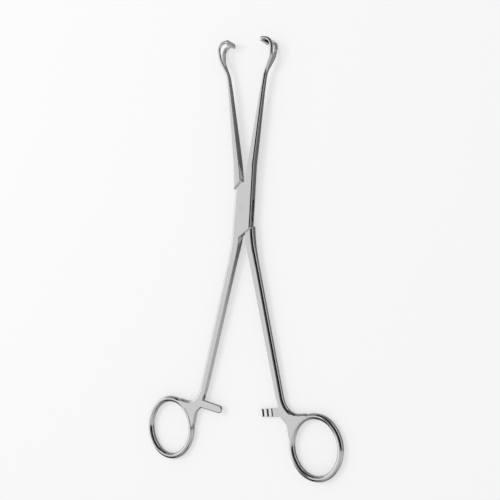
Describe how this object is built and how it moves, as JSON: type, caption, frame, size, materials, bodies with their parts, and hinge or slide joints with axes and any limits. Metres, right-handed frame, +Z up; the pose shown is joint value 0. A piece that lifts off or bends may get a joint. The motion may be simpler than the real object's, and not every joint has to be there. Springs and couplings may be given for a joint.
{
  "type": "babcock forceps",
  "caption": "Slender polished steel tissue forceps with fenestrated curved jaws, a box lock, long shanks, ratchet bars and oval finger rings.",
  "frame": {"origin": "on the hinge axis, at the underside of the lock block", "axes": "+Y towards the jaws along the instrument, +Z up along the hinge axis, +X to the side of the slotted half's jaw"},
  "size_m": [0.1208, 0.2402, 0.0095],
  "materials": {
    "forged_steel": "satin polish",
    "pin_steel": "ground flush"
  },
  "bodies": {
    "slotted_body": {"box_half": "forged_steel", "lock_pin": "pin_steel"},
    "tongued_body": {"tongue_half": "forged_steel"}
  },
  "joints": [
    {"name": "jaw_hinge", "type": "hinge", "parent": "slotted_body", "child": "tongued_body", "pos_m": [0, 0, 0.00275], "axis": [0, 0, 1], "range_deg": [-11.9, 38.1]}
  ]
}
